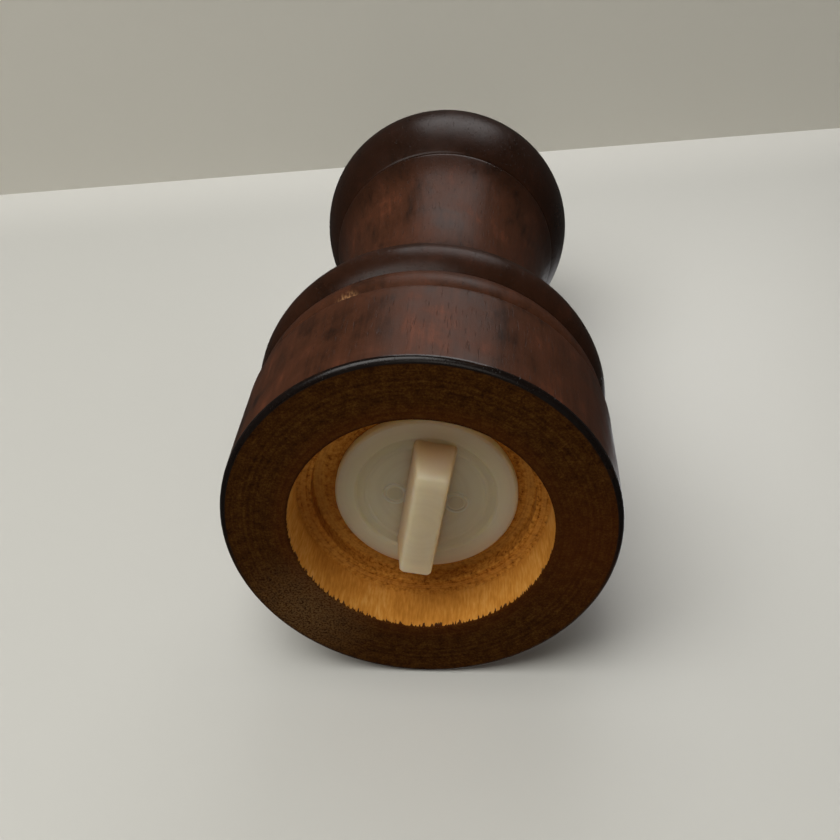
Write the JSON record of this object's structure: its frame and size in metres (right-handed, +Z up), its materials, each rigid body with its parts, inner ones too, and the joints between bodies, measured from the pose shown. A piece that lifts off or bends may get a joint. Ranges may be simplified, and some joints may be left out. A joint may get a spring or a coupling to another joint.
{
  "type": "pepper mill",
  "caption": "Turned wooden capstan-shaped pepper mill with a recessed base, a pull-out plastic filling stopper, a turning head with burrs and a lift-off lid.",
  "frame": {"origin": "centre of the base face that the mill stands on", "axes": "+Z up the turning axis towards the lid, the stopper's grip nearly along Y"},
  "size_m": [0.055, 0.055, 0.1124],
  "materials": {
    "stained_wood": "dark red-brown stain, satin",
    "milky_plastic": "translucent moulded polyethylene",
    "nylon": "moulded nylon",
    "plated_steel": "zinc plated",
    "burr_steel": "hardened, dark",
    "brass": "turned",
    "silicone": "soft black silicone"
  },
  "bodies": {
    "body": {"mill_body": "stained_wood", "neck_bush": "nylon", "shaft_bracket": "plated_steel", "bracket_screw_1": "plated_steel", "bracket_screw_2": "plated_steel", "bracket_screw_3": "plated_steel", "drive_shaft": "plated_steel", "shaft_clip": "plated_steel", "burr_spring": "plated_steel"},
    "stopper": {"filling_stopper": "milky_plastic"},
    "head": {"mill_head": "stained_wood", "burr_ring": "burr_steel", "ring_retainer": "plated_steel", "retainer_screw_1": "plated_steel", "retainer_screw_2": "plated_steel", "retainer_screw_3": "plated_steel"},
    "lid": {"lid": "stained_wood", "lid_seal": "silicone"},
    "burr": {"burr_cone": "burr_steel", "cone_washer": "plated_steel"},
    "knob": {"grind_knob": "brass"}
  },
  "joints": [
    {"name": "head_turn", "type": "hinge", "parent": "body", "child": "head", "pos_m": [0, 0, 0.0833], "axis": [0, 0, 1], "continuous": true},
    {"name": "lid_lift", "type": "slide", "parent": "head", "child": "lid", "axis": [0, 0, 1], "range_m": [0, 0.02]},
    {"name": "stopper_pull", "type": "slide", "parent": "body", "child": "stopper", "axis": [0, 0, -1], "range_m": [0, 0.022]},
    {"name": "burr_slide", "type": "slide", "parent": "body", "child": "burr", "axis": [0, 0, -1], "range_m": [0, 0.0008], "deforming": ["burr_spring"]},
    {"name": "knob_turn", "type": "hinge", "parent": "burr", "child": "knob", "pos_m": [0, 0, 0.1014], "axis": [0, 0, 1], "range_deg": [-360, 0]}
  ],
  "couplings": [
    {"joint": "knob_turn", "follows": "burr_slide", "rad_per_m": -7853.9}
  ]
}
